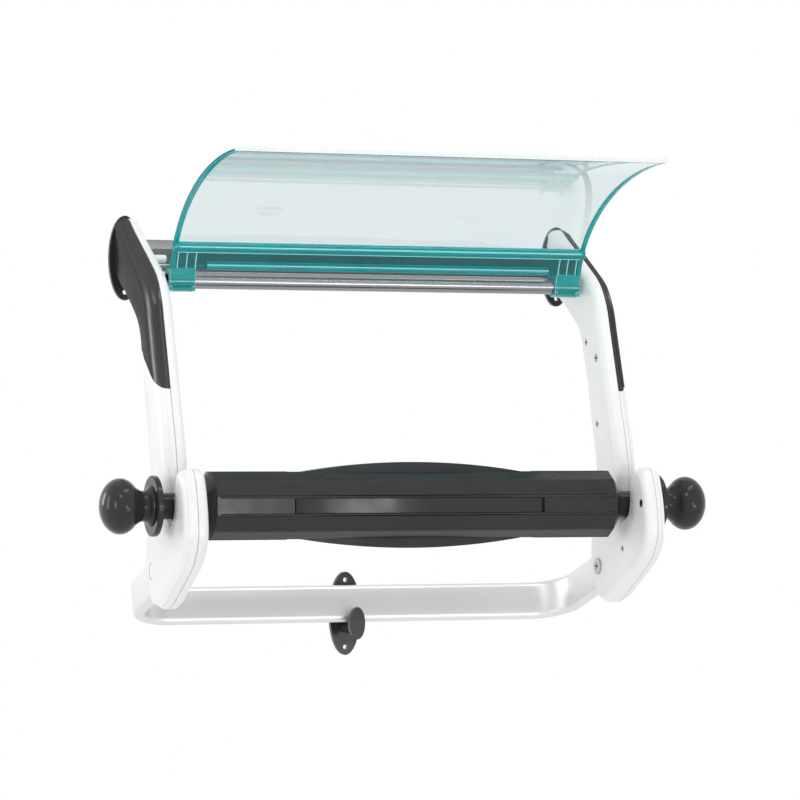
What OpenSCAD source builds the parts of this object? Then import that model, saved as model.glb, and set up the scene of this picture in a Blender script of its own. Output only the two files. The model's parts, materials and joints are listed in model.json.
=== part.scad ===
// Wall-mounted holder for a wiper roll: two hooked arms, a lift-out spindle and a flip-up tear shield.
// +X runs right along the spindle, +Y runs back into the wall, +Z is up. Millimetres.
// The origin is on the wall, midway between the screw holes of the two upper wall brackets.

/* [Arms] */
// Distance between the middle planes of the two arms
arm_gap = 482; // [474:1:500]
// Thickness of an arm, both half shells together
arm_t = 24; // [23:0.5:26]
// Wall thickness round the edge of a half shell
shell_wall = 3; // [2.5:0.1:3.5]
// Distance from the wall to the spindle's axis
spindle_out = 218; // [214:1:226]
// Height of the wall brackets' centre above the spindle's axis
spindle_drop = 254; // [250:1:262]

/* [Wall plates] */
// Width of each oval wall plate
plate_w = 34; // [30:1:40]
// Height of each oval wall plate
plate_h = 88; // [86:1:94]
// Thickness of each wall plate
plate_t = 6; // [5:0.5:7]
// Distance between the two screw holes of a plate
hole_gap = 71; // [68:1:74]
// Diameter of the screw holes
hole_d = 5; // [4:0.5:6]

/* [Cross pieces] */
// Outer diameter of the tube along the shield's foot
tube_d = 17; // [15:0.5:18]
// Diameter of the rod the shield turns on
rod_d = 4; // [3:0.5:5]
// Distance from the wall to the shield tube's axis
hinge_out = 102; // [99:1:104]
// Height of the cross bar
rail_h = 32.5; // [28:0.5:33]
// Depth of the cross bar
rail_d = 20; // [16:1:22]

/* [Shield] */
// Width of the shield at its hinge
shield_w = 447; // [436:1:450]
// How far the raised shield reaches forward of its foot
shield_reach = 229; // [215:1:232]
// How far the raised shield rises above its foot
shield_rise = 119; // [112:1:122]
// Thickness of the shield's sheet
sheet_t = 2.6; // [2:0.1:3.2]
// Pitch of the teeth of the tear strip
tooth_pitch = 7; // [5:0.5:10]

/* [Spindle] */
// Diameter of the shaft
shaft_d = 26; // [22:0.5:26]
// Diameter of the roller across its corners
roller_d = 70; // [66:1:72]
// Length of the roller with its end caps
roller_len = 444; // [420:1:446]
// How far each leaf spring stands out from the axis
leaf_peak = 43; // [40:0.5:45]
// Diameter of the flange discs
flange_d = 60; // [54:1:64]
// Diameter of the ball knobs
knob_d = 55; // [50:1:58]
// Length of the spindle from knob to knob
spindle_len = 641; // [636:1:660]
// Side play taken up by the spindle, to the right when positive
spindle_shift = -3; // [-3:0.5:3]

/* [Support bar] */
// Height of the bar's flat section
bar_h = 40; // [34:1:41]
// Thickness of the bar
bar_t = 12; // [10:0.5:12]
// Bend radius of the bar's corners, to its middle line
bar_bend = 42; // [34:1:50]
// Distance from the wall to the middle of the bar
bar_out = 22; // [21:0.5:24]

/* [Hidden] */

white = [0.94, 0.94, 0.94];
black = [0.16, 0.16, 0.17];
teal = [0.05, 0.62, 0.62, 0.6];
metal = [0.80, 0.81, 0.82];
half_t = arm_t / 2;
face_wall = 3.5;
cavity = half_t - face_wall;
side_gap = 5.5;
arm_x = max(arm_gap, shield_w + arm_t + 2 * side_gap) / 2;
axis_y = -spindle_out;
axis_z = -spindle_drop;
hinge_y = -hinge_out;
hinge_z = -27;
ear = [7, 15];
rail_y = -52;
rail_z = 0.25;
rail_bevel = [6, 9.5];
peg_y = -76;
peg_z = -4;
pivot_y = axis_y + 67;
pivot_z = axis_z - 66;
bar_y = -bar_out;
bar_z = axis_z - 107;
bar_len = norm([bar_y - pivot_y, bar_z - pivot_z]);
bar_tilt = atan2(pivot_z - bar_z, bar_y - pivot_y);
bar_lift = 15;
hook_z = axis_z - 118;
stem_r = 6;
head_out = 40;
head_w = 17;
head_h = 34;
seat_gap = 0.3;
shaft_r = shaft_d / 2;
seat_r = shaft_r + 0.5;
seat_d45 = seat_r * sqrt(0.5);
// The gap, flange, neck and knob share the spindle's length beyond an arm in these parts
gap_part = 10.5;
flange_part = 6;
neck_part = 11;
knob_part = 40;
part_len = (spindle_len / 2 - arm_x - half_t) / (gap_part + flange_part + neck_part + knob_part);
flange_x = arm_x + half_t + gap_part * part_len;
flange_t = flange_part * part_len;
spigot_r = 9;
neck_len = neck_part * part_len;
knob_half = knob_part * part_len / 2;
knob_x = spindle_len / 2 - knob_half;
spigot_len = flange_t + neck_len + 0.325 * knob_half;
cap_len = 14;
core_half = roller_len / 2 - cap_len;
tooth_n = ceil(shield_w / tooth_pitch);
slack = 0.08;

// Side outline of an arm as hand-set points: from the wall over the top, down the front, round the hook, up the back
upper_front = [
    [-plate_t, 4], [-plate_t, 26], [-plate_t - 4, 38], [-20, 39], [-40, 27], [-68, 11], [-100, -7], [-128, -25],
    [-146, -49], [-156, -76]
];
lower_ring = [
    [21, 62], [seat_r + 1, 34], [seat_r + 0.5, 18], [seat_r, 0], [seat_d45, -seat_d45], [0, -seat_r],
    [-seat_d45, -seat_d45], [-seat_r, 0], [-seat_r - 1.5, 18], [-21, 32], [-32, 37], [-44, 33], [-53, 16], [-60, -11],
    [-59, -35], [-43, -57], [-17, -73], [9, -87], [32, -99], [54, -103], [73, -94], [85, -73], [89, -50],
    [86, -20], [79, 8], [74, 36]
];
upper_back = [
    [-117, -122], [-109, -102], [-104, -86], [-92, -70], [-62, -50], [-34, -35], [-12, -22], [-plate_t, -14]
];
function midway(a, b, f) = a + (b - a) * f;
lower_pts = [for (p = lower_ring) [axis_y + p[0], axis_z + p[1]]];
front_pts = [for (f = [0.35, 0.68]) midway(upper_front[len(upper_front) - 1], lower_pts[0], f)];
back_pts = [for (f = [0.35, 0.68]) midway(lower_pts[len(lower_pts) - 1], upper_back[0], f)];
arm_ctrl = concat(upper_front, front_pts, lower_pts, back_pts, upper_back);

function spline(a, b, c, d, t) =
    0.5 * (2 * b + (c - a) * t + (2 * a - 5 * b + 4 * c - d) * t * t + (3 * b - a - 3 * c + d) * t * t * t);
function closed_curve(p, steps) =
    let (n = len(p))
    [for (i = [0 : n - 1], s = [0 : steps - 1])
        spline(p[(i + n - 1) % n], p[i], p[(i + 1) % n], p[(i + 2) % n], s / steps)];
arm_curve = closed_curve(arm_ctrl, 2);

// Side outline of an arm, cut off flat where it meets the wall plate
module arm_outline() intersection() {
    polygon(arm_curve);
    translate([-500, -500]) square([500 - plate_t, 700]);
}

// Stands a flat outline drawn as [y, z] up along +X
module along_x(length, centred = false) {
    rotate([90, 0, 90]) linear_extrude(length, center = centred) children();
}
module rod_x(r, x0, x1, sides = 40) {
    translate([x0, 0, 0]) rotate([0, 90, 0]) cylinder(r = r, h = x1 - x0, $fn = sides);
}

small_screws = [[-118, -86], [axis_y + 70, axis_z + 82], [axis_y - 45, axis_z + 1], [axis_y + 3, axis_z - 46]];
big_screw = [-145, -103];
all_screws = concat(small_screws, [big_screw]);

module at_each_screw() {
    for (s = all_screws) translate([0, s[0], s[1]]) children();
}
module at_pivot() {
    translate([0, pivot_y, pivot_z]) children();
}
module at_hinge() {
    translate([0, hinge_y, hinge_z]) children();
}
module at_rod() {
    at_hinge() translate([0, ear[0], ear[1]]) children();
}

// Room for the bar's leg where it leaves the back of the hook, over the whole swing
module leg_window() {
    along_x(bar_t + 1.4, true) translate([pivot_y, pivot_z]) hull()
        for (a = [-bar_tilt - 1, bar_lift - bar_tilt + 1])
            rotate(a) translate([-16, -bar_h / 2 - 0.6]) square([80, bar_h + 1.2]);
}
module tongue_window() {
    translate([-8.5, -15, -8.2]) cube([17, 20, 22.4]);
}

// Hollow half shell with screw bosses, before its own holes
module half_shell() {
    difference() {
        along_x(half_t) arm_outline();
        translate([-1, 0, 0]) along_x(cavity + 1) offset(delta = -shell_wall) arm_outline();
        leg_window();
        tongue_window();
    }
    difference() {
        at_each_screw() rod_x(5, 0, cavity + 0.5, 24);
        leg_window();
    }
    at_pivot() rod_x(11, bar_t / 2 + 0.3, cavity + 0.5);
}

module inner_shell() {
    difference() {
        union() {
            mirror([1, 0, 0]) half_shell();
            at_rod() rod_x(rod_d / 2 + 3.5, -cavity - 0.5, -2);
            translate([0, peg_y, peg_z]) rod_x(4, -half_t - 12, -half_t + 1, 32);
        }
        at_each_screw() {
            rod_x(1.9, -half_t - 1, 1, 20);
            rod_x(4.2, -half_t - 1, -half_t + 1.5, 24);
        }
        translate([0, big_screw[0], big_screw[1]]) rod_x(5.6, -half_t - 1, -half_t + 1.5, 24);
        at_pivot() rod_x(4 + slack, -half_t - 1, 0);
        at_rod() rod_x(rod_d / 2 + slack, -half_t - 1, -3, 32);
        translate([-half_t - 1, 0, 0]) along_x(face_wall + 1) rail_outline();
    }
}
module outer_half() {
    difference() {
        half_shell();
        at_each_screw() rod_x(1.9, -1, cavity, 20);
        at_pivot() {
            rod_x(4 + slack, 0, half_t - 1.9);
            rod_x(8.2, half_t - 2, half_t + 1);
        }
    }
}
// Curved joint between cover and hook shell, from the wall side to the front
cover_joint = [
    [40, -60], [-102, -95], [-118, -104], [-134, -115], [-150, -126], [-166, -134], [-182, -139], [-240, -147]
];
module cover_side() {
    along_x(arm_t + 2) polygon(concat(cover_joint, [[-240, 80], [40, 80]]));
}

module right_side() translate([arm_x, 0, 0]) children();
module left_side() mirror([1, 0, 0]) translate([arm_x, 0, 0]) children();
module both_sides() {
    right_side() children();
    left_side() children();
}

module left_arm_inner() color(white) left_side() inner_shell();
module right_arm_inner() color(white) right_side() inner_shell();
module hook_shell() difference() {
    outer_half();
    translate([-1, 0, 0]) cover_side();
}
module cover_shell() intersection() {
    outer_half();
    translate([-1, 0, 0]) cover_side();
}
module left_arm_outer() color(white) left_side() hook_shell();
module right_arm_outer() color(white) right_side() hook_shell();
module left_arm_cover() color(black) left_side() cover_shell();
module right_arm_cover() color(black) right_side() cover_shell();

// Oval plate flat against the wall, with two screw holes one above the other
module oval_plate() {
    difference() {
        rotate([90, 0, 0]) linear_extrude(plate_t) scale([plate_w / plate_h, 1]) circle(d = plate_h, $fn = 64);
        for (s = [-1, 1]) translate([0, 0, s * hole_gap / 2]) rotate([90, 0, 0])
            translate([0, 0, -1]) cylinder(d = hole_d, h = plate_t + 2, $fn = 32);
    }
}
module wall_bracket() {
    oval_plate();
    translate([-8.3, -44, -8]) cube([16.6, 44 - plate_t + 0.01, 22]);
}
module left_wall_bracket() color(black) left_side() wall_bracket();
module right_wall_bracket() color(black) right_side() wall_bracket();

// Countersunk screw with a cross recess, head toward -x
module screw(head_r, depth) {
    x0 = -half_t + 0.1;
    difference() {
        union() {
            rod_x(head_r, x0, -half_t + 1.5, 24);
            rod_x(1.85, -half_t + 1, depth, 16);
        }
        for (a = [0, 90]) rotate([a, 0, 0]) translate([x0 - 1, -0.5, -head_r * 0.6]) cube([1.8, 1, head_r * 1.2]);
    }
}
module shell_screws() color(metal) both_sides()
    for (s = small_screws) translate([0, s[0], s[1]]) screw(4.1, cavity - 1);
module cover_screws() color(metal) both_sides()
    translate([0, big_screw[0], big_screw[1]]) screw(5.5, cavity - 1);
module pivot_screws() color(metal) both_sides() at_pivot() {
    rod_x(4, -half_t - 0.5, half_t - 2);
    difference() {
        rod_x(8.5, -half_t - 2.2, -half_t);
        for (a = [0, 90]) rotate([a, 0, 0]) translate([-half_t - 3.2, -0.8, -4.5]) cube([2, 1.6, 9]);
    }
}
module pivot_caps() color(white) both_sides() at_pivot() rod_x(8.1, half_t - 2, half_t - 0.4);

// Dark hollow bar with its upper front edge bevelled
module rail_outline() translate([rail_y, rail_z]) polygon([
    [rail_d / 2, -rail_h / 2], [rail_d / 2, rail_h / 2], [-rail_d / 2 + rail_bevel[0], rail_h / 2],
    [-rail_d / 2, rail_h / 2 - rail_bevel[1]], [-rail_d / 2, -rail_h / 2]]);
module cross_bar() color([0.3, 0.31, 0.32]) {
    length = 2 * (arm_x - cavity);
    difference() {
        along_x(length, true) rail_outline();
        along_x(length + 2, true) translate([rail_y, rail_z]) square([rail_d - 6, rail_h - 14], center = true);
    }
}
module hinge_rod() color(metal) at_rod() rod_x(rod_d / 2, -arm_x + 4, arm_x - 4, 32);
module wall_hook() color(black) translate([0, 0, hook_z]) {
    stem_z = bar_z - (bar_h - bar_t) / 2 * cos(bar_tilt) - bar_t / 2 - stem_r - seat_gap - hook_z;
    oval_plate();
    translate([0, -plate_t, stem_z]) rotate([90, 0, 0]) cylinder(r = stem_r, h = head_out - plate_t, $fn = 48);
    translate([0, -head_out, stem_z + stem_r]) rotate([90, 0, 0])
        linear_extrude(6) scale([head_w / head_h, 1]) circle(d = head_h, $fn = 48);
}

// Middle line of the raised sheet: part of an ellipse from the hinge up and forward, as [y, z] from the hinge
foot_y = -11;
foot_z = -5.3;
function sheet_at(t) = [foot_y - shield_reach * (1 - cos(t)), foot_z + shield_rise * sin(t)];
function sheet_normal(t) =
    let (d = [-shield_reach * sin(t), shield_rise * cos(t)])
    [-d[1], d[0]] / norm(d);
foot_t = 8;
sheet_steps = [for (i = [0 : 30]) foot_t + (90 - foot_t) * i / 30];
bead_t = 18.7;
bead_r = 6;
low_bead_t = 9.6;
low_bead_r = 4.3;
clip_w = 27;
module sheet_outline() {
    polygon(concat(
        [for (t = sheet_steps) sheet_at(t) + sheet_t / 2 * sheet_normal(t)],
        [for (i = [30 : -1 : 0]) sheet_at(sheet_steps[i]) - sheet_t / 2 * sheet_normal(sheet_steps[i])]));
}
module bead(t, r, half) {
    translate([0, sheet_at(t)[0], sheet_at(t)[1]]) rod_x(r, -half, half);
}
module sheet_solid() {
    along_x(shield_w, true) sheet_outline();
    bead(bead_t, bead_r, shield_w / 2);
    bead(low_bead_t, low_bead_r, shield_w / 2 - clip_w - 10);
}
module shield_sheet() color(teal) at_hinge() sheet_solid();
module shield_tube() color(metal) at_hinge() difference() {
    rod_x(tube_d / 2, -shield_w / 2, shield_w / 2, 64);
    rod_x(tube_d / 2 - 1.5, -shield_w, shield_w, 64);
}

// Moulded end of the shield: a ring round the tube, a front panel, and three ribs with ears that turn on the rod
ear_r = 5;
rib_in = 8;
module clip() {
    x1 = shield_w / 2;
    x0 = x1 - clip_w;
    difference() {
        union() {
            rod_x(tube_d / 2 + 3, x0, x1, 64);
            translate([x0, 0, 0]) along_x(clip_w) polygon([[-11.4, -1], [-8.4, -1], [-9, 14], [-15, 13]]);
            for (x = [x0, x0 + 9.5, x1 - rib_in]) translate([x, 0, 0]) along_x(2.5) {
                polygon([[0, 9], [-2, 33], [-22, 33], [-17, 16], [-10, 6]]);
                polygon([[-4, 9], [ear[0], ear[1] - ear_r], [ear[0], ear[1] + ear_r], [-4, 30]]);
                translate(ear) circle(r = ear_r, $fn = 32);
            }
            translate([x0, -11, -11.4]) cube([3, 4, 5]);
            translate([x1 - 3, -11, -11.4]) cube([3, 4, 5]);
        }
        rod_x(tube_d / 2 + slack, x0 - 1, x1 + 1, 64);
        translate([0, ear[0], ear[1]]) rod_x(rod_d / 2 + slack, x0 - 1, x1 + 1, 32);
        sheet_solid();
        translate([x0 - 1, 0, 0]) along_x(clip_w + 2) polygon(concat(
            [for (t = sheet_steps) if (t < 40) sheet_at(t)], [[-80, 70], [-80, sheet_at(foot_t)[1]]]));
        translate([x0 - 1, 4, -6]) cube([clip_w + 2, 12, 9]);
    }
}
module left_hinge_clip() color(teal) at_hinge() mirror([1, 0, 0]) clip();
module right_hinge_clip() color(teal) at_hinge() clip();

// Upright strip along the free edge with a row of pointed teeth
strip_t = 1.6;
strip_h = 2.8;
tooth_h = 2.4;
module tear_strip() color([0.9, 0.94, 0.94]) at_hinge() {
    tip = sheet_at(90);
    base_z = tip[1] - sheet_t / 2;
    root_z = base_z + strip_h;
    half = tooth_n * tooth_pitch / 2;
    translate([0, tip[0], 0]) rotate([90, 0, 0]) linear_extrude(strip_t) polygon(concat(
        [[half, base_z], [half, root_z]],
        [for (i = [0 : tooth_n - 1], step = [0.5, 1])
            [half - (i + step) * tooth_pitch, step == 1 ? root_z : root_z + tooth_h]],
        [[-half, base_z]]));
}

module at_axis() translate([spindle_shift, axis_y, axis_z]) children();
module spindle_shaft() color(black) at_axis() {
    rod_x(shaft_r, -flange_x, flange_x, 96);
    rod_x(spigot_r, -flange_x - spigot_len, flange_x + spigot_len, 64);
}
module flange() difference() {
    rod_x(flange_d / 2, flange_x, flange_x + flange_t, 64);
    rod_x(spigot_r + slack, flange_x - 1, flange_x + flange_t + 1, 64);
}
// Flattened ball on a neck, turned about the spindle's axis
module knob() difference() {
    union() {
        translate([knob_x, 0, 0]) rotate([0, 90, 0]) rotate_extrude($fn = 48)
            polygon(concat([[0, -knob_half]],
                [for (a = [-80 : 10 : 80]) [knob_d / 2 * cos(a), knob_half * sin(a)]], [[0, knob_half]]));
        rod_x(15, flange_x + flange_t, knob_x - 0.6 * knob_half, 64);
    }
    rod_x(spigot_r + slack, flange_x, flange_x + spigot_len + 0.5, 64);
}
module left_flange() color(black) at_axis() mirror([1, 0, 0]) flange();
module right_flange() color(black) at_axis() flange();
module left_knob() color(black) at_axis() mirror([1, 0, 0]) knob();
module right_knob() color(black) at_axis() knob();

// Twelve-sided hollow roller with four long pockets for the leaf springs and a groove along every corner
leaf_half = 130;
leaf_w = 14;
leaf_t = 2;
pocket_r = 29;
module twelve_sided() rotate(15) circle(d = roller_d, $fn = 12);
module roller_core() color(black) at_axis() difference() {
    along_x(2 * core_half, true) difference() {
        twelve_sided();
        circle(r = 25, $fn = 64);
        for (k = [0 : 11]) rotate(15 + 30 * k) translate([roller_d / 2, 0]) circle(r = 1.6, $fn = 16);
    }
    for (a = [0 : 90 : 270]) rotate([a, 0, 0])
        translate([-leaf_half - 2, -leaf_w / 2 - 0.5, pocket_r]) cube([2 * leaf_half + 4, leaf_w + 1, 20]);
}
module roller_cap() difference() {
    union() {
        translate([core_half, 0, 0]) along_x(3) twelve_sided();
        translate([core_half + 3, 0, 0]) rotate([90, 0, 90]) rotate(15)
            cylinder(d1 = roller_d, d2 = 36, h = cap_len - 3, $fn = 12);
        rod_x(24.9, core_half - 12, core_half + 1, 64);
    }
    rod_x(shaft_r + slack, core_half - 14, roller_len / 2 + 1, 96);
}
module left_roller_cap() color(black) at_axis() mirror([1, 0, 0]) roller_cap();
module right_roller_cap() color(black) at_axis() roller_cap();

// Bowed spring fin: a long arc with side skirts, open underneath, whose two ends rest on the floor of its pocket
leaf_floor = pocket_r + 0.1;
leaf_bow = leaf_peak - leaf_floor - leaf_t;
leaf_arc_r = (leaf_half * leaf_half + leaf_bow * leaf_bow) / (2 * leaf_bow);
module bow(skin, half, low) intersection() {
    translate([0, leaf_peak - leaf_arc_r]) circle(r = leaf_arc_r - skin, $fn = 240);
    translate([-half, low]) square([2 * half, leaf_peak - low + 5]);
}
module leaf(turn) color(black) at_axis() rotate([turn, 0, 0]) rotate([90, 0, 0]) difference() {
    linear_extrude(leaf_w, center = true) bow(0, leaf_half, leaf_floor);
    linear_extrude(leaf_w - 2 * leaf_t, center = true) bow(leaf_t, leaf_half - 14, leaf_floor - 1);
}
module leaf_top() leaf(0);
module leaf_bottom() leaf(180);
module leaf_front() leaf(90);
module leaf_back() leaf(270);

// Flat bar with full-round edges, bent to a U and hung from the two pivots
module bar_section() {
    square([bar_t, bar_h - bar_t], center = true);
    for (s = [-1, 1]) translate([0, s * (bar_h - bar_t) / 2]) circle(d = bar_t, $fn = 20);
}
module bar_leg() {
    difference() {
        translate([arm_x, bar_len - bar_bend, 0]) rotate([90, 0, 0]) linear_extrude(bar_len - bar_bend + 14) bar_section();
        rod_x(4 + 2 * slack, arm_x - bar_t, arm_x + bar_t, 64);
    }
    translate([arm_x - bar_bend, bar_len - bar_bend, 0]) rotate_extrude(angle = 90, $fn = 64)
        translate([bar_bend, 0]) bar_section();
}
module support_bar() color(metal) translate([0, pivot_y, pivot_z]) rotate([-bar_tilt, 0, 0]) {
    bar_leg();
    mirror([1, 0, 0]) bar_leg();
    translate([0, bar_len, 0]) rotate([90, 0, 90])
        linear_extrude(2 * (arm_x - bar_bend), center = true) bar_section();
}

left_arm_inner();
right_arm_inner();
left_arm_outer();
right_arm_outer();
left_arm_cover();
right_arm_cover();
left_wall_bracket();
right_wall_bracket();
shell_screws();
cover_screws();
pivot_screws();
pivot_caps();
cross_bar();
hinge_rod();
wall_hook();
shield_sheet();
shield_tube();
left_hinge_clip();
right_hinge_clip();
tear_strip();
spindle_shaft();
left_flange();
right_flange();
left_knob();
right_knob();
roller_core();
left_roller_cap();
right_roller_cap();
leaf_top();
leaf_bottom();
leaf_front();
leaf_back();
support_bar();
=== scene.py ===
# Looks for the wall-mounted wiper roll holder: smooth shells, tinted shield, materials, light and camera
import json
import math

import bmesh
import bpy
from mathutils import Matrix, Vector


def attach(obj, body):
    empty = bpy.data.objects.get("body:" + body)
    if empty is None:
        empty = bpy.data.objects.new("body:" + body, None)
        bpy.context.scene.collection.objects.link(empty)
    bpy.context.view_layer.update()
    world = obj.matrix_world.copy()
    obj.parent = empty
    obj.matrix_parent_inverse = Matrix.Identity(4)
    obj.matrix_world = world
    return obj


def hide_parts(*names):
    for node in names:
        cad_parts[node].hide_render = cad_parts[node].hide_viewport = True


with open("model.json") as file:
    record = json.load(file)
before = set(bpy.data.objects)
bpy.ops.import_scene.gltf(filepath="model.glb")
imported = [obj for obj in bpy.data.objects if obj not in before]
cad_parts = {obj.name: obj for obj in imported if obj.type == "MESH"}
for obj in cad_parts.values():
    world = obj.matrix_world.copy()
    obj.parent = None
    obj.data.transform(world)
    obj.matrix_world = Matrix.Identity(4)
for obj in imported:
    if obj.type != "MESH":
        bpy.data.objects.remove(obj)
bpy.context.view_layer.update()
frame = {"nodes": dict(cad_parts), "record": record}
nodes = frame["nodes"]
MM = 0.001
SIDES = ((-1, "left"), (1, "right"))

# Material helpers: noise scales are per metre and bump depths are in metres
NOISE_RANGE = (0.3, 0.7)
PATCH_SCALE, PATCH_DETAIL = 14, 4
GLOSS_SCALE, GLOSS_DETAIL = 60, 3
GRAIN_DETAIL, GRAIN_DEPTH = 2, 0.0003
MOULDED_SCALE, MOULDED_DETAIL = 20, 3
CLEAR_SCALE, CLEAR_DETAIL = 40, 3
WAVE_SCALE, WAVE_DETAIL = 30, 2
WAVE_STRENGTH, WAVE_DEPTH = 0.02, 0.0005
CLEAR_SURFACE = (0.86, 0.87, 0.87, 1)
PLASTIC_IOR = 1.45
FADE_BLEND = 0.5
FADE_RANGE = (0.3, 0.65)


def new_material(name):
    mat = bpy.data.materials.new(name)
    mat.use_nodes = True
    tree = mat.node_tree
    return mat, tree, tree.nodes["Principled BSDF"]


def paint(obj, *materials):
    obj.data.materials.clear()
    for material in materials:
        obj.data.materials.append(material)


def object_noise(tree, scale, detail, stretch=(1, 1, 1)):
    coord = tree.nodes.new("ShaderNodeTexCoord")
    mapping = tree.nodes.new("ShaderNodeMapping")
    mapping.inputs["Scale"].default_value = stretch
    noise = tree.nodes.new("ShaderNodeTexNoise")
    noise.inputs["Scale"].default_value = scale
    noise.inputs["Detail"].default_value = detail
    tree.links.new(coord.outputs["Object"], mapping.inputs["Vector"])
    tree.links.new(mapping.outputs["Vector"], noise.inputs["Vector"])
    return noise


def map_range(tree, source, target, before, after):
    span = tree.nodes.new("ShaderNodeMapRange")
    span.inputs["From Min"].default_value = before[0]
    span.inputs["From Max"].default_value = before[1]
    span.inputs["To Min"].default_value = after[0]
    span.inputs["To Max"].default_value = after[1]
    tree.links.new(source, span.inputs["Value"])
    tree.links.new(span.outputs["Result"], target)


def vary_colour(tree, shader, noise, dark, light):
    ramp = tree.nodes.new("ShaderNodeValToRGB")
    for stop, place, colour in zip(ramp.color_ramp.elements, NOISE_RANGE, (dark, light)):
        stop.position = place
        stop.color = (*colour, 1)
    tree.links.new(noise.outputs["Fac"], ramp.inputs["Fac"])
    tree.links.new(ramp.outputs["Color"], shader.inputs["Base Color"])


def vary_roughness(tree, shader, noise, rough):
    map_range(tree, noise.outputs["Fac"], shader.inputs["Roughness"], NOISE_RANGE, rough)


def add_grain(tree, shader, noise, strength, depth):
    bump = tree.nodes.new("ShaderNodeBump")
    bump.inputs["Strength"].default_value = strength
    bump.inputs["Distance"].default_value = depth
    tree.links.new(noise.outputs["Fac"], bump.inputs["Height"])
    tree.links.new(bump.outputs["Normal"], shader.inputs["Normal"])


def grained(
        name, dark, light, rough, metallic=0.0, grain=900, grain_strength=0.05, stretch=(1, 1, 1),
        specular=0.5):
    mat, tree, shader = new_material(name)
    shader.inputs["Metallic"].default_value = metallic
    shader.inputs["Specular IOR Level"].default_value = specular
    vary_colour(tree, shader, object_noise(tree, PATCH_SCALE, PATCH_DETAIL, stretch), dark, light)
    vary_roughness(tree, shader, object_noise(tree, GLOSS_SCALE, GLOSS_DETAIL, stretch), rough)
    add_grain(tree, shader, object_noise(tree, grain, GRAIN_DETAIL, stretch), grain_strength, GRAIN_DEPTH)
    return mat


# Gloss that fades where the surface is seen nearly edge on
def fade_gloss(mat, facing, edge_on):
    tree = mat.node_tree
    weight = tree.nodes.new("ShaderNodeLayerWeight")
    weight.inputs["Blend"].default_value = FADE_BLEND
    gloss = tree.nodes["Principled BSDF"].inputs["Specular IOR Level"]
    map_range(tree, weight.outputs["Facing"], gloss, FADE_RANGE, (facing, edge_on))


# See-through sheet, coloured by its depth
def clear_tint(name, tint, density, rough):
    mat, tree, shader = new_material(name)
    shader.inputs["Base Color"].default_value = CLEAR_SURFACE
    shader.inputs["Transmission Weight"].default_value = 1.0
    shader.inputs["IOR"].default_value = PLASTIC_IOR
    vary_roughness(tree, shader, object_noise(tree, CLEAR_SCALE, CLEAR_DETAIL), rough)
    add_grain(tree, shader, object_noise(tree, WAVE_SCALE, WAVE_DETAIL), WAVE_STRENGTH, WAVE_DEPTH)
    absorb = tree.nodes.new("ShaderNodeVolumeAbsorption")
    absorb.inputs["Color"].default_value = (*tint, 1)
    absorb.inputs["Density"].default_value = density
    tree.links.new(absorb.outputs["Volume"], tree.nodes["Material Output"].inputs["Volume"])
    return mat


# Thicker moulding that lets part of the light through
def moulded_tint(name, dark, light, through, rough):
    mat, tree, shader = new_material(name)
    shader.inputs["Transmission Weight"].default_value = through
    shader.inputs["IOR"].default_value = PLASTIC_IOR
    vary_colour(tree, shader, object_noise(tree, MOULDED_SCALE, MOULDED_DETAIL), dark, light)
    vary_roughness(tree, shader, object_noise(tree, GLOSS_SCALE, GLOSS_DETAIL), rough)
    return mat


# Materials: darkest and lightest colour, then the range of roughness; ALONG draws the grain out along x
ALONG = (0.03, 1, 1)
white_plastic = grained(
    "white_plastic", (0.85, 0.85, 0.85), (0.885, 0.885, 0.885), (0.28, 0.36), grain_strength=0.02)
black_plastic = grained(
    "black_plastic", (0.024, 0.024, 0.026), (0.030, 0.030, 0.033), (0.14, 0.20), grain=1100,
    grain_strength=0.012, specular=0.25)
cover_plastic = grained(
    "cover_plastic", (0.017, 0.017, 0.019), (0.022, 0.022, 0.025), (0.20, 0.26), grain=1100,
    grain_strength=0.012)
fade_gloss(cover_plastic, 0.5, 0.02)
bar_metal = grained(
    "bar_metal", (0.71, 0.715, 0.72), (0.76, 0.765, 0.77), (0.40, 0.46), 1.0, 700, 0.03, ALONG)
tube_metal = grained(
    "tube_metal", (0.27, 0.28, 0.285), (0.32, 0.33, 0.335), (0.20, 0.26), 1.0, 900, 0.02, ALONG)
rod_metal = grained(
    "rod_metal", (0.34, 0.34, 0.35), (0.42, 0.42, 0.43), (0.2, 0.3), 1.0, 900, 0.04, ALONG)
grey_metal = grained("grey_metal", (0.145, 0.148, 0.15), (0.17, 0.173, 0.175), (0.20, 0.26), 0.6)
screw_steel = grained("screw_steel", (0.52, 0.52, 0.53), (0.62, 0.62, 0.63), (0.28, 0.4), 1.0)
teal_plastic = clear_tint("teal_plastic", (0.04, 0.66, 0.70), 46, (0.02, 0.05))
teal_moulding = moulded_tint("teal_moulding", (0.0, 0.43, 0.44), (0.0, 0.49, 0.50), 0.55, (0.06, 0.12))
teal_clip = moulded_tint("teal_clip", (0.01, 0.47, 0.47), (0.03, 0.53, 0.53), 0.62, (0.06, 0.12))
teal_web = moulded_tint("teal_web", (0.0, 0.26, 0.27), (0.01, 0.31, 0.32), 0.78, (0.04, 0.08))
# Pale teal as painted highlight: thin rods on the shield's beads and clips, and the clips' rounded edges
teal_painted_highlight = grained("teal_painted_highlight", (0.30, 0.74, 0.75), (0.38, 0.80, 0.81), (0.15, 0.2))
pale_plastic = grained("pale_plastic", (0.78, 0.84, 0.85), (0.86, 0.90, 0.91), (0.35, 0.5))

FINISH = {
    "white_plastic": white_plastic,
    "black_plastic": black_plastic,
    "bar_metal": bar_metal,
    "tube_metal": tube_metal,
    "rod_metal": rod_metal,
    "grey_metal": grey_metal,
    "screw_steel": screw_steel,
    "teal_plastic": teal_plastic,
    "pale_plastic": pale_plastic,
}

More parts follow.
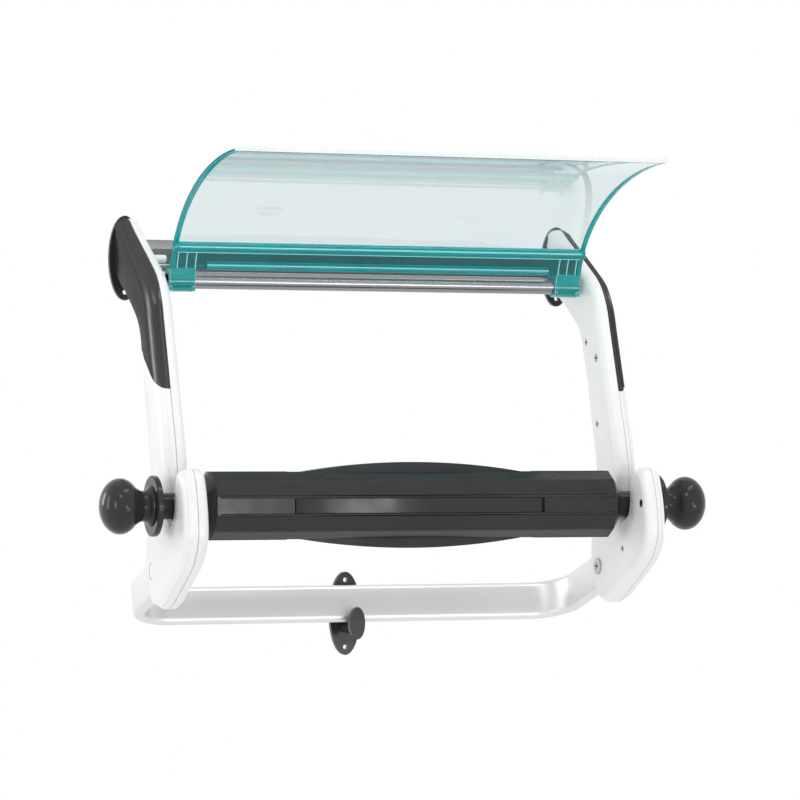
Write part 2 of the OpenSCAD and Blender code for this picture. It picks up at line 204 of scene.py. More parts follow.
# Shading and edge rounding: angles in degrees, widths in metres
SMOOTH_ANGLE = 25
EDGE_ANGLE = 50
FACET_ANGLE = 20
WELD_GAP = 0.00001
BEVEL_STEPS = 3
BEVELS = {
    "left_wall_bracket": 0.0012,
    "right_wall_bracket": 0.0012,
    "wall_hook": 0.0012,
    "cross_bar": 0.0008,
    "spindle_shaft": 0.0008,
    "roller_core": 0.0007,
    "left_hinge_clip": 0.0004,
    "right_hinge_clip": 0.0004,
}


# Smooth shading on every edge flatter than a set angle
def smooth_group(name, degrees):
    group = bpy.data.node_groups.new(name, "GeometryNodeTree")
    for way in ("INPUT", "OUTPUT"):
        group.interface.new_socket("Geometry", in_out=way, socket_type="NodeSocketGeometry")
    source = group.nodes.new("NodeGroupInput")
    target = group.nodes.new("NodeGroupOutput")
    faces = group.nodes.new("GeometryNodeSetShadeSmooth")
    edges = group.nodes.new("GeometryNodeSetShadeSmooth")
    edges.domain = "EDGE"
    angle = group.nodes.new("GeometryNodeInputMeshEdgeAngle")
    flat = group.nodes.new("FunctionNodeCompare")
    flat.operation = "LESS_THAN"
    flat.inputs["B"].default_value = math.radians(degrees)
    group.links.new(source.outputs[0], faces.inputs["Geometry"])
    group.links.new(faces.outputs["Geometry"], edges.inputs["Geometry"])
    group.links.new(angle.outputs["Unsigned Angle"], flat.inputs["A"])
    group.links.new(flat.outputs["Result"], edges.inputs["Shade Smooth"])
    group.links.new(edges.outputs["Geometry"], target.inputs[0])
    return group


smooth_below = smooth_group("smooth_below_25", SMOOTH_ANGLE)


def soften(obj, bevel=0.0, sharp=EDGE_ANGLE):
    weld = obj.modifiers.new("weld", "WELD")
    weld.merge_threshold = WELD_GAP
    if bevel > 0:
        round_off = obj.modifiers.new("round_edges", "BEVEL")
        round_off.width = bevel
        round_off.segments = BEVEL_STEPS
        round_off.limit_method = "ANGLE"
        round_off.angle_limit = math.radians(sharp)
        round_off.use_clamp_overlap = True
    shade = obj.modifiers.new("smooth", "NODES")
    shade.node_group = smooth_below
    if bevel > 0:
        level = obj.modifiers.new("level_faces", "WEIGHTED_NORMAL")
        level.keep_sharp = True


SLOTS = {s["node"]: s["material_slot"] for s in frame["record"]["subparts"]}
for name, obj in nodes.items():
    paint(obj, FINISH[SLOTS[name]])
    soften(obj, BEVELS.get(name, 0.0), FACET_ANGLE if name == "roller_core" else EDGE_ANGLE)

# Mesh helpers
SAME_PLACE = 1e-7


def add_piece(name, bm, material_slot, body, replaced=()):
    mesh = bpy.data.meshes.new(name)
    bmesh.ops.recalc_face_normals(bm, faces=bm.faces)
    bm.to_mesh(mesh)
    bm.free()
    obj = bpy.data.objects.new(name, mesh)
    bpy.context.scene.collection.objects.link(obj)
    obj.data.materials.append(FINISH[material_slot])
    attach(obj, body)
    if replaced:
        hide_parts(*replaced)
    return obj


def skin(bm, rings, close_ends=True):
    loops = [[bm.verts.new(p) for p in ring] for ring in rings]
    count = len(loops[0])
    for a, b in zip(loops, loops[1:]):
        for i in range(count):
            j = (i + 1) % count
            bm.faces.new((a[i], a[j], b[j], b[i]))
    if close_ends:
        bm.faces.new(loops[0])
        bm.faces.new(list(reversed(loops[-1])))
    return loops


def circle(x, y, z, r, sides):
    turns = [2 * math.pi * k / sides for k in range(sides)]
    return [(MM * x, MM * (y + r * math.cos(a)), MM * (z + r * math.sin(a))) for a in turns]


# Turned shape about an axis along x: the profile's distances run from the origin in the direction way
def lathe(bm, profile, origin, way, sides, closed=False):
    rings = [circle(origin[0] + way * x, origin[1], origin[2], r, sides) for x, r in profile]
    if closed:
        rings.append(rings[0])
    skin(bm, rings, close_ends=False)
    bmesh.ops.remove_doubles(bm, verts=bm.verts, dist=SAME_PLACE)


# Side outline of an arm, in millimetres: the same points as the solid, with more steps between them
AXIS_Y, AXIS_Z = -218.0, -254.0
PLATE_T = 6.0
ARM_X = 241.0
HALF_T = 12.0
CAVITY = 8.5
WALL = 3.0
SEAT = 13.5
SEAT_45 = SEAT * math.sqrt(0.5)
CURVE_STEPS = 6
STRAIGHT_SHARES = (0.35, 0.68)
UPPER_FRONT = [
    (-6, 4), (-6, 26), (-10, 38), (-20, 39), (-40, 27), (-68, 11), (-100, -7), (-128, -25), (-146, -49),
    (-156, -76)
]
LOWER_RING = [
    (21, 62), (SEAT + 1, 34), (SEAT + 0.5, 18), (SEAT, 0), (SEAT_45, -SEAT_45), (0, -SEAT),
    (-SEAT_45, -SEAT_45), (-SEAT, 0), (-SEAT - 1.5, 18), (-21, 32), (-32, 37), (-44, 33), (-53, 16),
    (-60, -11), (-59, -35), (-43, -57), (-17, -73), (9, -87), (32, -99), (54, -103), (73, -94), (85, -73),
    (89, -50), (86, -20), (79, 8), (74, 36)
]
UPPER_BACK = [
    (-117, -122), (-109, -102), (-104, -86), (-92, -70), (-62, -50), (-34, -35), (-12, -22), (-6, -14)
]


def between(a, b, f):
    return (a[0] + (b[0] - a[0]) * f, a[1] + (b[1] - a[1]) * f)


def spline(a, b, c, d, t):
    square = (2 * a - 5 * b + 4 * c - d) * t * t
    cube = (3 * b - a - 3 * c + d) * t ** 3
    return 0.5 * (2 * b + (c - a) * t + square + cube)


def arm_outline(steps):
    lower = [(AXIS_Y + y, AXIS_Z + z) for y, z in LOWER_RING]
    front = [between(UPPER_FRONT[-1], lower[0], f) for f in STRAIGHT_SHARES]
    back = [between(lower[-1], UPPER_BACK[0], f) for f in STRAIGHT_SHARES]
    ctrl = UPPER_FRONT + front + lower + back + UPPER_BACK
    n = len(ctrl)
    points = []
    for i in range(n):
        four = [ctrl[(i + k) % n] for k in (-1, 0, 1, 2)]
        for s in range(steps):
            y, z = (spline(*(p[k] for p in four), s / steps) for k in (0, 1))
            points.append((min(y, -PLATE_T), z))
    return points


# Joint between cover and hook shell, from the wall to the front: the solid's points, on a smooth curve
JOINT = [
    (40, -60), (-102, -95), (-118, -104), (-134, -115), (-150, -126), (-166, -134), (-182, -139), (-240, -147)
]
JOINT_GAP = 0.15
JOINT_STEPS = 10
HALVINGS = 30


def joint_curve(steps):
    curve = []
    last = len(JOINT) - 1
    for i in range(last):
        four = [JOINT[min(max(i + k, 0), last)] for k in (-1, 0, 1, 2)]
        curve += [tuple(spline(*(p[k] for p in four), s / steps) for k in (0, 1)) for s in range(steps)]
    return curve + [JOINT[-1]]


JOINT_CURVE = joint_curve(CURVE_STEPS)


def joint_height(y):
    for (y0, z0), (y1, z1) in zip(JOINT_CURVE, JOINT_CURVE[1:]):
        if y1 <= y <= y0:
            return z0 + (z1 - z0) * (y - y0) / (y1 - y0)
    return JOINT_CURVE[-1][1]


# The points of a ring on one side of the joint: way 1 keeps the cover's side and -1 the hook's
def clip_ring(ring, kept, way, gap):
    n = len(ring)

    def inside(p):
        return way * (p[1] - joint_height(p[0])) > gap

    def walk(step):
        i = kept[len(kept) // 2]
        while inside(ring[(i + step) % n]):
            i += step
        a, b = ring[i % n], ring[(i + step) % n]
        for _ in range(HALVINGS):
            m = between(a, b, 0.5)
            a, b = (m, b) if inside(m) else (a, m)
        return i, a

    first, start = walk(-1)
    last, stop = walk(1)
    part = [start]
    # Points that a drawn-in ring has past the joint go to its end, so that all rings have the same count
    for i in kept:
        part.append(start if i < first else stop if i > last else ring[i % n])
    part.append(stop)
    for k in range(1, JOINT_STEPS):
        y = stop[0] + (start[0] - stop[0]) * k / JOINT_STEPS
        part.append((y, joint_height(y) + way * gap))
    return part


def kept_points(points, way):
    n = len(points)
    inside = [way * (z - joint_height(y)) > 0 for y, z in points]
    first = next(i for i in range(n) if inside[i] and not inside[i - 1])
    return list(range(first, first + sum(inside)))


# Share of the edge rounding at each side of the outline: by height, less towards the wall, least on the plate
WALL_SHARE = 0.08
WALL_NEAR = 0.01
BACK_SLOPE, BACK_START = 1.4, 0.3
EVEN = [(0, 1.0)]
CROWNED = [(-195, 0.62), (-142, 0.5), (-112, 1.0), (-20, 1.0), (28, 0.45)]


def share_at(z, heights):
    for (z0, s0), (z1, s1) in zip(heights, heights[1:]):
        if z0 <= z <= z1:
            return s0 + (s1 - s0) * (z - z0) / (z1 - z0)
    return heights[0][1] if z < heights[0][0] else heights[-1][1]


def outline_way(points):
    n = len(points)
    area = 0
    for i in range(n):
        (y0, z0), (y1, z1) = points[i], points[(i + 1) % n]
        area += y0 * z1 - y1 * z0
    return 1 if area > 0 else -1


def edge_shares(points, back_share, heights):
    shares = []
    n = len(points)
    way = outline_way(points)
    for i in range(n):
        j = (i + 1) % n
        at_wall = min(points[i][0], points[j][0]) > -PLATE_T - WALL_NEAR
        edge = Vector((points[j][0] - points[i][0], points[j][1] - points[i][1])).normalized()
        facing_wall = min(1.0, max(0.0, way * edge.y * BACK_SLOPE + BACK_START))
        if at_wall:
            shares.append(WALL_SHARE)
        else:
            shares.append((1.0 + (back_share - 1.0) * facing_wall) * share_at(points[i][1], heights))
    return shares


# An outline drawn inwards, each side by its share of the amount
NO_LENGTH = 1e-9
SHORT = 1e-6
NEARLY_STRAIGHT = 0.15
FARTHEST = 2
UNFOLD_ROUNDS = 60


def inset(points, shares, amount):
    n = len(points)
    sign = outline_way(points)
    normals = []
    for i in range(n):
        a, b = points[i], points[(i + 1) % n]
        edge = Vector((b[0] - a[0], b[1] - a[1]))
        normal = Vector((-edge.y, edge.x)).normalized() * sign
        normals.append(normal if edge.length > NO_LENGTH else Vector((0, 0)))
    moved = []
    for i in range(n):
        n0, n1 = normals[i - 1], normals[i]
        d0, d1 = amount * shares[i - 1], amount * shares[i]
        cross = n0.x * n1.y - n0.y * n1.x
        if abs(cross) < NEARLY_STRAIGHT:
            shift = (n0 + n1).normalized() * ((d0 + d1) / 2)
        else:
            shift = Vector((d0 * n1.y - d1 * n0.y, d1 * n0.x - d0 * n1.x)) / cross
        if shift.length > FARTHEST * amount:
            shift = shift.normalized() * FARTHEST * amount
        moved.append(Vector(points[i]) + shift)
    # Sides that turned round on the way shrink to a point
    for _ in range(UNFOLD_ROUNDS):
        flipped = 0
        for i in range(n):
            j = (i + 1) % n
            old = Vector(points[j]) - Vector(points[i])
            new = moved[j] - moved[i]
            if old.length > SHORT and new.dot(old) < 0:
                middle = (moved[i] + moved[j]) / 2
                moved[i] = middle.copy()
                moved[j] = middle.copy()
                flipped += 1
        if not flipped:
            break
    return [(p.x, p.y) for p in moved]


# Edge rounding of the two halves: how much of the thickness it takes, and how far it draws the face in
INNER_EDGE = (8.0, 9.0)
OUTER_EDGE = (10.0, 24.0)
INNER_BACK_SHARE = 0.4
OUTER_BACK_SHARE = 0.25
QUARTER_TURN = math.radians(90)
CURVE_MEET = math.radians(40)
TIGHT_STEPS, WIDE_STEPS = 5, 8
SEAM_HALF, SEAM_DEPTH = 0.45, 2.0


# Distance from the plane where the halves meet, against depth: a seam groove, a tight curve, then a wide one
def edge_profile(thick, draw):
    c, s = math.cos(CURVE_MEET), math.sin(CURVE_MEET)
    wide = (draw - (1 - s) / c * thick) / (s - (1 - s) * (1 - c) / c)
    tight = (thick - (1 - c) * wide) / c
    start = HALF_T - thick
    profile = [(0.0, SEAM_DEPTH), (SEAM_HALF, 0.0), (start, 0.0)]
    for k in range(1, TIGHT_STEPS + 1):
        a = QUARTER_TURN + (CURVE_MEET - QUARTER_TURN) * k / TIGHT_STEPS
        profile.append((start + tight * math.cos(a), tight * (1 - math.sin(a))))
    for k in range(1, WIDE_STEPS + 1):
        a = CURVE_MEET * (1 - k / WIDE_STEPS)
        rise = tight * c + wide * (math.cos(a) - c)
        profile.append((start + rise, tight * (1 - s) + wide * (s - math.sin(a))))
    return profile


# One half of an arm, hollow and open to the other: way_kept is the side of the joint to keep, or 0 for both
def shell_mesh(points, shares, middle, way, edge, way_kept=0):
    kept = kept_points(points, way_kept) if way_kept else []

    def ring_at(x, flat, gap):
        part = clip_ring(flat, kept, way_kept, gap) if way_kept else flat
        return [(MM * (middle + way * x), MM * y, MM * z) for y, z in part]

    rings = []
    for x, depth in edge_profile(*edge):
        rings.append(ring_at(x, inset(points, shares, depth) if depth > 0 else points, JOINT_GAP))
    hollow = inset(points, [1.0] * len(points), WALL)
    inner = [ring_at(x, hollow, WALL) for x in (CAVITY, 0.0)]
    bm = bmesh.new()
    outside = skin(bm, rings, close_ends=False)
    bm.faces.new(outside[-1])
    inside = skin(bm, inner, close_ends=False)
    bm.faces.new(inside[0])
    rim_out, rim_in = outside[0], inside[-1]
    count = len(rim_out)
    for i in range(count):
        j = (i + 1) % count
        bm.faces.new((rim_out[i], rim_out[j], rim_in[j], rim_in[i]))
    return bm


# Cutters for the screw heads, the pivot and the bar's leg
CUT_SIDES = 32


def rod_cutter(bm, y, z, r, x0, x1):
    skin(bm, [circle(x, y, z, r, CUT_SIDES) for x in (x0, x1)])


def cut(obj, bm):
    bmesh.ops.recalc_face_normals(bm, faces=bm.faces)
    mesh = bpy.data.meshes.new("cutter")
    bm.to_mesh(mesh)
    bm.free()
    cutter = bpy.data.objects.new("cutter", mesh)
    bpy.context.scene.collection.objects.link(cutter)
    mod = obj.modifiers.new("cut", "BOOLEAN")
    mod.operation = "DIFFERENCE"
    mod.solver = "EXACT"
    mod.object = cutter
    depsgraph = bpy.context.evaluated_depsgraph_get()
    result = bpy.data.meshes.new_from_object(obj.evaluated_get(depsgraph))
    obj.modifiers.remove(mod)
    obj.data = result
    bpy.data.objects.remove(cutter)
    bpy.data.meshes.remove(mesh)


PIVOT = (AXIS_Y + 67, AXIS_Z - 66)
BAR_MIDDLE = (-22.0, AXIS_Z - 107)
BAR_TILT = math.atan2(PIVOT[1] - BAR_MIDDLE[1], BAR_MIDDLE[0] - PIVOT[0])
BAR_LIFT = math.radians(15)
LEG_PLAY = math.radians(1)
LEG_FROM, LEG_TO = -16, 64
LEG_HALF_H, LEG_HALF_T = 20.6, 6.7


def turn_of(o, a, b):
    return (a[0] - o[0]) * (b[1] - o[1]) - (a[1] - o[1]) * (b[0] - o[0])


def convex_hull(points):
    ordered = sorted(points)

    def half(seq):
        chain = []
        for p in seq:
            while len(chain) > 1 and turn_of(chain[-2], chain[-1], p) <= 0:
                chain.pop()
            chain.append(p)
        return chain[:-1]

    return half(ordered) + half(reversed(ordered))


# The space that a leg of the bar sweeps inside the hook
def leg_cutter(middle):
    corners = []
    for turn in (-BAR_TILT - LEG_PLAY, BAR_LIFT - BAR_TILT + LEG_PLAY):
        c, s = math.cos(turn), math.sin(turn)
        for y in (LEG_FROM, LEG_TO):
            for z in (-LEG_HALF_H, LEG_HALF_H):
                corners.append((y * c - z * s, y * s + z * c))
    hull = convex_hull(corners)
    ends = []
    for x in (-LEG_HALF_T, LEG_HALF_T):
        ends.append([(MM * (middle + x), MM * (PIVOT[0] + y), MM * (PIVOT[1] + z)) for y, z in hull])
    bm = bmesh.new()
    skin(bm, ends)
    return bm


# Arms
SMALL_SCREWS = [
    (-118, -86), (AXIS_Y + 70, AXIS_Z + 82), (AXIS_Y - 45, AXIS_Z + 1), (AXIS_Y + 3, AXIS_Z - 46)
]
BIG_SCREW = (-145, -103)
OVERCUT = 1.0
SMALL_HEAD_R, BIG_HEAD_R, HEAD_DEPTH = 4.2, 5.6, 1.5
PIVOT_HEAD_R, PIVOT_FLOOR = 4.1, 5.0
CAP_R, CAP_DEPTH = 8.7, 2.0
PEG = (-76, -4)
PEG_R, PEG_LENGTH, PEG_EASE, PEG_SIDES = 4.0, 12.0, 1.0, 32
peg_end = HALF_T + PEG_LENGTH
peg_profile = [
    (HALF_T - PEG_EASE, 0), (HALF_T - PEG_EASE, PEG_R), (peg_end - PEG_EASE, PEG_R),
    (peg_end, PEG_R - PEG_EASE), (peg_end, 0)
]
outline = arm_outline(CURVE_STEPS)
inner_shares = edge_shares(outline, INNER_BACK_SHARE, EVEN)
outer_shares = edge_shares(outline, OUTER_BACK_SHARE, CROWNED)
for side, prefix in SIDES:
    middle = side * ARM_X
    inner = add_piece(
        prefix + "_arm_inner_shell", shell_mesh(outline, inner_shares, middle, -side, INNER_EDGE),
        "white_plastic", "base", (prefix + "_arm_inner",))
    heads = bmesh.new()
    above = middle - side * (HALF_T + OVERCUT)
    head_floor = middle - side * (HALF_T - HEAD_DEPTH)
    for y, z in SMALL_SCREWS:
        rod_cutter(heads, y, z, SMALL_HEAD_R, above, head_floor)
    rod_cutter(heads, *BIG_SCREW, BIG_HEAD_R, above, head_floor)
    rod_cutter(heads, *PIVOT, PIVOT_HEAD_R, above, middle - side * PIVOT_FLOOR)
    cut(inner, heads)
    cut(inner, leg_cutter(middle))
    hook = add_piece(
        prefix + "_arm_hook_shell", shell_mesh(outline, outer_shares, middle, side, OUTER_EDGE, -1),
        "white_plastic", "base", (prefix + "_arm_outer",))
    caps = bmesh.new()
    cap_floor = middle + side * (HALF_T - CAP_DEPTH)
    rod_cutter(caps, *PIVOT, CAP_R, cap_floor, middle + side * (HALF_T + OVERCUT))
    cut(hook, caps)
    cut(hook, leg_cutter(middle))
    cover = add_piece(
        prefix + "_arm_cover_shell", shell_mesh(outline, outer_shares, middle, side, OUTER_EDGE, 1),
        "black_plastic", "base", (prefix + "_arm_cover",))
    paint(cover, cover_plastic)
    for obj in (inner, hook, cover):
        soften(obj)
    peg = bmesh.new()
    lathe(peg, peg_profile, (middle, *PEG), -side, PEG_SIDES)
    soften(add_piece(prefix + "_stop_peg", peg, "white_plastic", "base"))

# Black crosses on the screw heads, painted shade for their cross recesses: place, face from the arm's middle,
# half width and half length
RECESS_DEPTH = 0.5
FLUSH_FACE, RAISED_FACE = HALF_T - 0.05, HALF_T + 2.25
RECESSES = [(place, FLUSH_FACE, 0.85, 2.5) for place in SMALL_SCREWS]
RECESSES += [(BIG_SCREW, FLUSH_FACE, 1.1, 3.4), (PIVOT, RAISED_FACE, 1.0, 4.5)]


def cross_ring(x, place, half_width, half_length):
    quarter = [(half_width, half_width), (half_width, half_length), (-half_width, half_length)]
    ring = []
    for _ in range(4):
        ring += [(MM * x, MM * (place[0] + a), MM * (place[1] + b)) for a, b in quarter]
        quarter = [(-b, a) for a, b in quarter]
    return ring


for side, prefix in SIDES:
    crosses = bmesh.new()
    for place, face, half_width, half_length in RECESSES:
        ends = [side * (ARM_X - face + depth) for depth in (0.0, RECESS_DEPTH)]
        skin(crosses, [cross_ring(x, place, half_width, half_length) for x in ends])
    bmesh.ops.remove_doubles(crosses, verts=crosses.verts, dist=SAME_PLACE)
    # Black crosses as painted shade in the screw heads
    soften(add_piece(prefix + "_screw_recess_painted_shade", crosses, "black_plastic", "base"))

# Knobs and flanges, turned about the spindle's axis: distance from the arm's middle against radius
SPINDLE_SHIFT = -3.0
TURNED_SIDES = 96
FLANGE = (22.5, 28.5)
KNOB_MIDDLE, KNOB_HALF, KNOB_R = 59.5, 20.0, 27.5
KNOB_TURNS = range(-45, 91, 5)
BORE_R, BORE_END = 9.1, 46.5
flange_profile = [
    (FLANGE[0], BORE_R), (FLANGE[0], 28.8), (FLANGE[0] + 0.4, 29.6), (FLANGE[0] + 1.2, 30.0),
    (FLANGE[1] - 1.2, 30.0), (FLANGE[1] - 0.4, 29.6), (FLANGE[1], 28.8), (FLANGE[1], BORE_R)
]
knob_profile = [
    (BORE_END, 0), (BORE_END, BORE_R), (28.6, BORE_R), (28.6, 20.0), (29.2, 20.4), (30.4, 19.6), (32.0, 17.2),
    (33.6, 15.7), (35.5, 15.2), (38.0, 15.2), (40.0, 15.8), (42.0, 17.2)
]
for degrees in KNOB_TURNS:
    turn = math.radians(degrees)
    knob_profile.append((KNOB_MIDDLE + KNOB_HALF * math.sin(turn), KNOB_R * math.cos(turn)))
for side, prefix in SIDES:
    start = (SPINDLE_SHIFT + side * ARM_X, AXIS_Y, AXIS_Z)
    disc = bmesh.new()
    lathe(disc, flange_profile, start, side, TURNED_SIDES, closed=True)
    soften(add_piece(prefix + "_flange_disc", disc, "black_plastic", "spindle", (prefix + "_flange",)))
    ball = bmesh.new()
    lathe(ball, knob_profile, start, side, TURNED_SIDES)
    soften(add_piece(prefix + "_knob_ball", ball, "black_plastic", "spindle", (prefix + "_knob",)))

# Shield: tinted sheet over a deeper foot with two beads, with thick side rims and pale rods along the foot as
# painted highlights
HINGE_Y, HINGE_Z = -102.0, -27.0
SHIELD_W = 447.0
REACH, RISE = 229.0, 119.0
FOOT = (-11.0, -5.3)
SHEET_T = 2.6
BEAD_T, BEAD_R = 18.7, 6.0
LOW_T, LOW_R = 9.6, 4.3
LOW_SHORT = 37.0
FOOT_T = 8.0


# The sheet follows a quarter of an ellipse: t is the angle along it, in degrees
def sheet_at(t):
    a = math.radians(t)
    return Vector((FOOT[0] - REACH * (1 - math.cos(a)), FOOT[1] + RISE * math.sin(a)))


def sheet_normal(t):
    a = math.radians(t)
    d = Vector((-REACH * math.sin(a), RISE * math.cos(a)))
    return Vector((-d.y, d.x)).normalized()


def strip_ring(x, steps, halves):
    ring = []
    for way in (1, -1):
        for t, half in list(zip(steps, halves))[::way]:
            p = sheet_at(t) + way * half * sheet_normal(t)
            ring.append((MM * x, MM * (HINGE_Y + p.x), MM * (HINGE_Z + p.y)))
    return ring


def strip_steps(first, last, count):
    return [first + (last - first) * k / count for k in range(count + 1)]


def shield_piece(name, bm, material, replaced=()):
    obj = add_piece(name, bm, "teal_plastic", "shield", replaced)
    paint(obj, material)
    obj.visible_shadow = False
    soften(obj)


# Half thickness as a share of the full one, at distances from a side edge
SIDE_PINCH = [(0.0, 0.6), (0.3, 0.9), (0.8, 1.0), (3.0, 1.0), (9.0, 1.0)]


def pinched_ring(x, steps, halves, pinch):
    return strip_ring(x, steps, [pinch * half for half in halves])


def wide_strip(steps, halves, half_width):
    rings = []
    for side in (-1, 1):
        for into, pinch in SIDE_PINCH[::-side]:
            rings.append(pinched_ring(side * (half_width - into), steps, halves, pinch))
    bm = bmesh.new()
    skin(bm, rings)
    return bm


SHEET_END, SHEET_STEPS = 89.4, 60
SHEET_TIP = [(89.8, 0.85), (90.0, 0.5)]
WEB_GAP, WEB_STEPS = 0.1, 12
half_sheet = SHEET_T / 2
long_half, short_half = SHIELD_W / 2, SHIELD_W / 2 - LOW_SHORT
sheet_steps = strip_steps(BEAD_T, SHEET_END, SHEET_STEPS) + [t for t, share in SHEET_TIP]
sheet_halves = [half_sheet] * (SHEET_STEPS + 1) + [share * half_sheet for t, share in SHEET_TIP]
sheet_bm = wide_strip(sheet_steps, sheet_halves, long_half)
shield_piece("shield_clear_sheet", sheet_bm, teal_plastic, ("shield_sheet",))
web_steps = strip_steps(FOOT_T, BEAD_T - WEB_GAP, WEB_STEPS)
shield_piece("shield_web", wide_strip(web_steps, [half_sheet] * (WEB_STEPS + 1), long_half), teal_web)

RIM_W = 5.0
RIM_END, RIM_STEPS = 89.0, 60
RIM_HALF, RIM_TAPER = 2.5, 1.1
TAPER_FROM, TAPER_SPAN = 50, 40
RIM_PINCH = [(0.0, 0.6), (0.4, 0.9), (1.0, 1.0), (RIM_W - 1.0, 1.0), (RIM_W - 0.4, 0.9), (RIM_W, 0.6)]
rim_steps = strip_steps(FOOT_T, RIM_END, RIM_STEPS)
rim_halves = [RIM_HALF - RIM_TAPER * max(0.0, (t - TAPER_FROM) / TAPER_SPAN) for t in rim_steps]
for side, prefix in SIDES:
    rim_rings = []
    for into, pinch in RIM_PINCH:
        rim_rings.append(pinched_ring(side * (long_half - into), rim_steps, rim_halves, pinch))
    rim_bm = bmesh.new()
    skin(rim_bm, rim_rings)
    shield_piece(prefix + "_shield_rim", rim_bm, teal_moulding)

# Rods along the shield, at a distance and angle from a centre, the angle turned up from the front
ROD_EASE = 0.1
ROD_SIDES = 48


def shield_rod(name, centre, out, degrees, r, x0, x1, material):
    a = math.radians(degrees)
    p = centre + out * Vector((-math.cos(a), math.sin(a)))
    ease = ROD_EASE * r
    profile = [(x0, 0), (x0, r - ease), (x0 + ease, r), (x1 - ease, r), (x1, r - ease), (x1, 0)]
    bm = bmesh.new()
    lathe(bm, profile, (0.0, HINGE_Y + p.x, HINGE_Z + p.y), 1, ROD_SIDES)
    shield_piece(name, bm, material)


# Painted highlights: thin pale rods lying along the beads, at these turns on each bead
LINE_R = 0.5
LINE_SUNK = 0.1
LINE_SHORT = 0.5
UPPER_LINES = (68, -2, -70)
LOWER_LINES = (72, 8)
upper, lower = sheet_at(BEAD_T), sheet_at(LOW_T)
shield_rod("shield_upper_bead", upper, 0.0, 0, BEAD_R, -long_half, long_half, teal_moulding)
shield_rod("shield_lower_bead", lower, 0.0, 0, LOW_R, -short_half, short_half, teal_moulding)
LINES = [
    ("upper", upper, BEAD_R - LINE_SUNK, UPPER_LINES, long_half - RIM_W),
    ("lower", lower, LOW_R - LINE_SUNK, LOWER_LINES, short_half - LINE_SHORT),
]
for row, centre, out, turns, end in LINES:
    for number, degrees in enumerate(turns):
        shield_rod("shield_%s_line_%d" % (row, number), centre, out, degrees, LINE_R, -end, end, teal_painted_highlight)

# Painted highlights on the hinge clips: a pale rod along the ring and one up each rib
CLIP_W = 27.0
CLIP_SHORT = 0.3
RING_R = 11.5
RING_LINE = 12
RIB_LINES = (25.7, 16.2, 6.7)
RIB_FROM, RIB_TO, RIB_STEPS = FOOT_T + 0.3, 16.2, 6
RIB_HALF_T, RIB_HALF_W = 1.6, 0.45
rib_steps = strip_steps(RIB_FROM, RIB_TO, RIB_STEPS)
rib_halves = [RIB_HALF_T] * (RIB_STEPS + 1)
for side, prefix in SIDES:
    ends = sorted((side * (long_half - CLIP_W + CLIP_SHORT), side * (long_half - CLIP_SHORT)))
    ring_out = RING_R - LINE_SUNK
    shield_rod(prefix + "_clip_ring_line", Vector((0, 0)), ring_out, RING_LINE, LINE_R, *ends, teal_painted_highlight)
    for number, into in enumerate(RIB_LINES):
        rib_x = side * (long_half - into)
        line_bm = bmesh.new()
        skin(line_bm, [strip_ring(rib_x + x, rib_steps, rib_halves) for x in (-RIB_HALF_W, RIB_HALF_W)])
        shield_piece(prefix + "_clip_rib_line_%d" % number, line_bm, teal_painted_highlight)
    clip = nodes[prefix + "_hinge_clip"]
    # The clip's rounded edges take the pale teal too: a painted highlight along them
    paint(clip, teal_clip, teal_painted_highlight)
    clip.modifiers["round_edges"].material = 1
    clip.visible_shadow = False

# White room: full white where it is seen, reflected or looked through to, and dimmer as a source of light
AMBIENT = 0.70
world = bpy.data.worlds.new("studio")
bpy.context.scene.world = world
world.use_nodes = True
world_tree = world.node_tree
background = world_tree.nodes["Background"]
background.inputs["Color"].default_value = (1, 1, 1, 1)
path = world_tree.nodes.new("ShaderNodeLightPath")
seen = path.outputs["Is Camera Ray"]
for ray in ("Is Glossy Ray", "Is Transmission Ray"):
    either = world_tree.nodes.new("ShaderNodeMath")
    either.operation = "MAXIMUM"
    world_tree.links.new(seen, either.inputs[0])
    world_tree.links.new(path.outputs[ray], either.inputs[1])
    seen = either.outputs[0]
map_range(world_tree, seen, background.inputs["Strength"], (0.0, 1.0), (AMBIENT, 1.0))

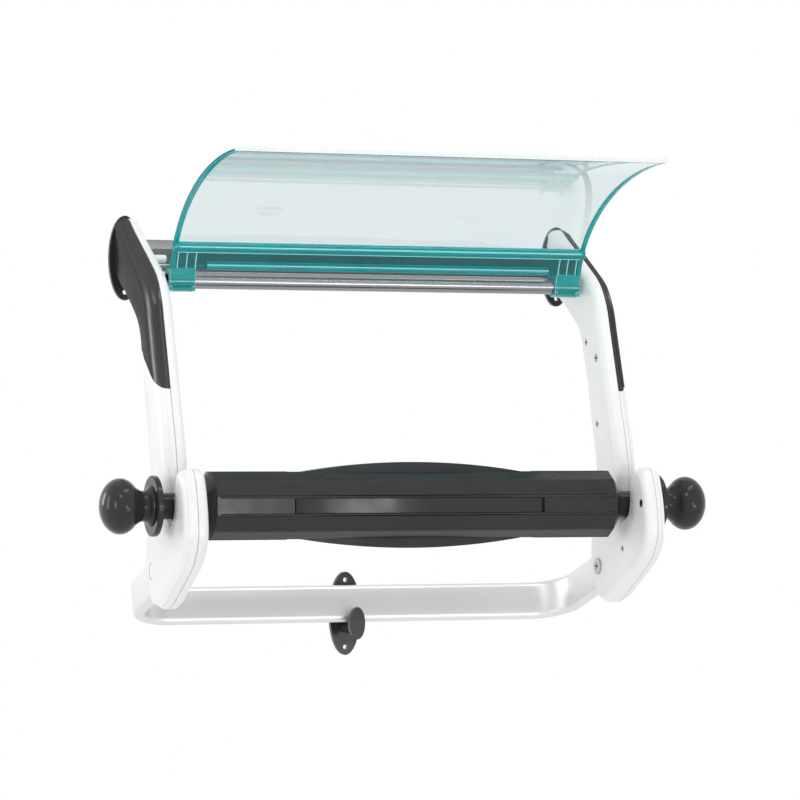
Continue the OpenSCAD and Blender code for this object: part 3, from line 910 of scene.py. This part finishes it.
# Lamps: name, place, width and height, power
AIM = (0.0, -0.12, -0.16)
LAMPS = [
    ("key", (-1.4, -1.9, 1.5), (0.37, 0.37), 6.5),
    ("low", (0.9, -2.5, -0.75), (0.9, 0.3), 7),
    ("top", (0.35, -0.85, 1.5), (1.4, 0.35), 7),
    ("side", (-1.7, 0.25, 0.0), (0.2, 0.8), 3),
    ("rim", (-1.3, 0.95, 0.05), (0.25, 0.5), 3),
    ("front", (0.38, -3.1, -0.3), (0.62, 0.12), 4.5),
    ("fill", (-2.4, -1.2, -0.1), (0.3, 0.9), 7),
]
for name, place, size, power in LAMPS:
    lamp_data = bpy.data.lights.new(name, "AREA")
    lamp_data.shape = "RECTANGLE"
    lamp_data.size, lamp_data.size_y = size
    lamp_data.energy = power
    lamp = bpy.data.objects.new(name, lamp_data)
    lamp.location = place
    lamp.rotation_euler = (Vector(AIM) - Vector(place)).to_track_quat("-Z", "Y").to_euler()
    bpy.context.scene.collection.objects.link(lamp)

# Plain pale floor
FLOOR_HALF = 2.4
FLOOR_Z = -1.1
FLOOR_PAINT = (0.86, 0.86, 0.86, 1)
FLOOR_ROUGH = 0.7
floor_bm = bmesh.new()
bmesh.ops.create_grid(floor_bm, x_segments=1, y_segments=1, size=FLOOR_HALF)
floor_mesh = bpy.data.meshes.new("floor")
floor_bm.to_mesh(floor_mesh)
floor_bm.free()
floor = bpy.data.objects.new("floor", floor_mesh)
floor.location = (0, 0, FLOOR_Z)
bpy.context.scene.collection.objects.link(floor)
floor_mat, _, floor_shader = new_material("floor_paint")
floor_shader.inputs["Base Color"].default_value = FLOOR_PAINT
floor_shader.inputs["Roughness"].default_value = FLOOR_ROUGH
floor_mesh.materials.append(floor_mat)
floor.visible_glossy = False

# Camera at the photograph's angle: its focal length and picture width are in pixels
AZ, UP = math.radians(19.5), math.radians(0.7766)
CAMERA_PLACE = (-1.2139, -3.6070, -0.19775)
SENSOR_W = 36
FOCAL_PX, PICTURE_PX = 3588.9, 800
VIEW_FAR = 50
forward = Vector((math.sin(AZ) * math.cos(UP), math.cos(AZ) * math.cos(UP), math.sin(UP)))
camera_data = bpy.data.cameras.new("camera")
camera_data.sensor_width = SENSOR_W
camera_data.lens = SENSOR_W * FOCAL_PX / PICTURE_PX
camera_data.clip_end = VIEW_FAR
camera = bpy.data.objects.new("camera", camera_data)
camera.location = CAMERA_PLACE
camera.rotation_euler = forward.to_track_quat("-Z", "Y").to_euler()
bpy.context.scene.collection.objects.link(camera)
bpy.context.scene.camera = camera
bpy.context.scene.view_settings.view_transform = "Standard"
